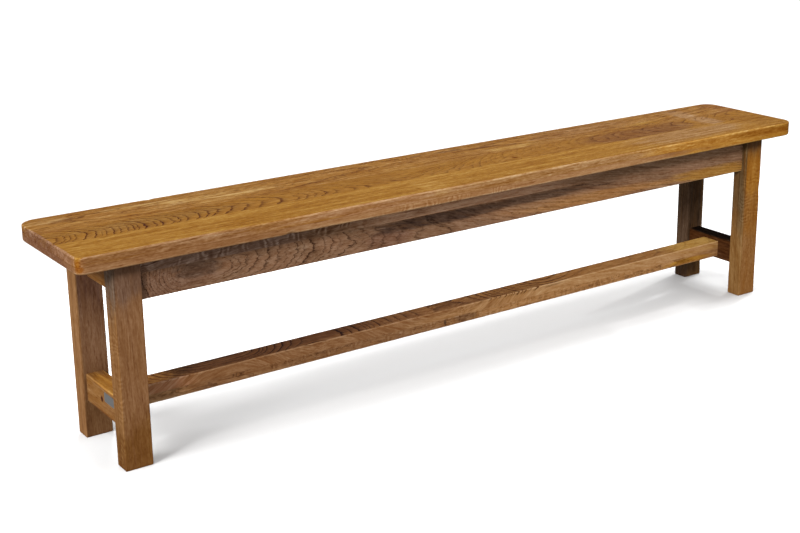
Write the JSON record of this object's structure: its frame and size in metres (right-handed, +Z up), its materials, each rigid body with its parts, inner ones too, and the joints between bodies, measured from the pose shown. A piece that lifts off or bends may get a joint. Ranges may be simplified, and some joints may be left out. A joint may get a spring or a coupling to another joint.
{
  "type": "farmhouse bench",
  "caption": "Long, narrow solid oak bench: laminated seat with rounded corners on square legs, with deep rails under the seat and an H of stretchers near the floor.",
  "frame": {"origin": "on the floor, under the middle of the bench", "axes": "+X along the bench to its right end, -Y to the front, +Z up"},
  "size_m": [1.91, 0.3, 0.45],
  "materials": {
    "oak_seat": "oiled and lacquered solid oak, satin",
    "oak_under_boards": "oiled and lacquered solid oak, satin",
    "oak_legs": "oiled and lacquered solid oak, satin",
    "oak_rails": "oiled and lacquered solid oak, satin",
    "oak_stretchers": "oiled and lacquered solid oak, satin",
    "oak_buttons": "bare planed oak",
    "screw_steel": "zinc plated",
    "plate_metal": "brushed, bare"
  },
  "bodies": {
    "root": {"seat_front_board": "oak_seat", "seat_middle_board": "oak_seat", "seat_back_board": "oak_seat", "under_front_board": "oak_under_boards", "under_middle_board": "oak_under_boards", "under_back_board": "oak_under_boards", "front_left_leg_outer_stave": "oak_legs", "front_left_leg_inner_stave": "oak_legs", "front_right_leg_outer_stave": "oak_legs", "front_right_leg_inner_stave": "oak_legs", "back_left_leg_outer_stave": "oak_legs", "back_left_leg_inner_stave": "oak_legs", "back_right_leg_outer_stave": "oak_legs", "back_right_leg_inner_stave": "oak_legs", "front_rail_upper_stave": "oak_rails", "front_rail_lower_stave": "oak_rails", "back_rail_upper_stave": "oak_rails", "back_rail_lower_stave": "oak_rails", "left_end_rail": "oak_rails", "right_end_rail": "oak_rails", "left_end_stretcher": "oak_stretchers", "right_end_stretcher": "oak_stretchers", "centre_stretcher_upper_stave": "oak_stretchers", "centre_stretcher_lower_stave": "oak_stretchers", "front_left_button": "oak_buttons", "front_middle_button": "oak_buttons", "front_right_button": "oak_buttons", "back_left_button": "oak_buttons", "back_middle_button": "oak_buttons", "back_right_button": "oak_buttons", "left_end_button": "oak_buttons", "right_end_button": "oak_buttons", "button_screws": "screw_steel", "metal_plate": "plate_metal"}
  },
  "joints": []
}
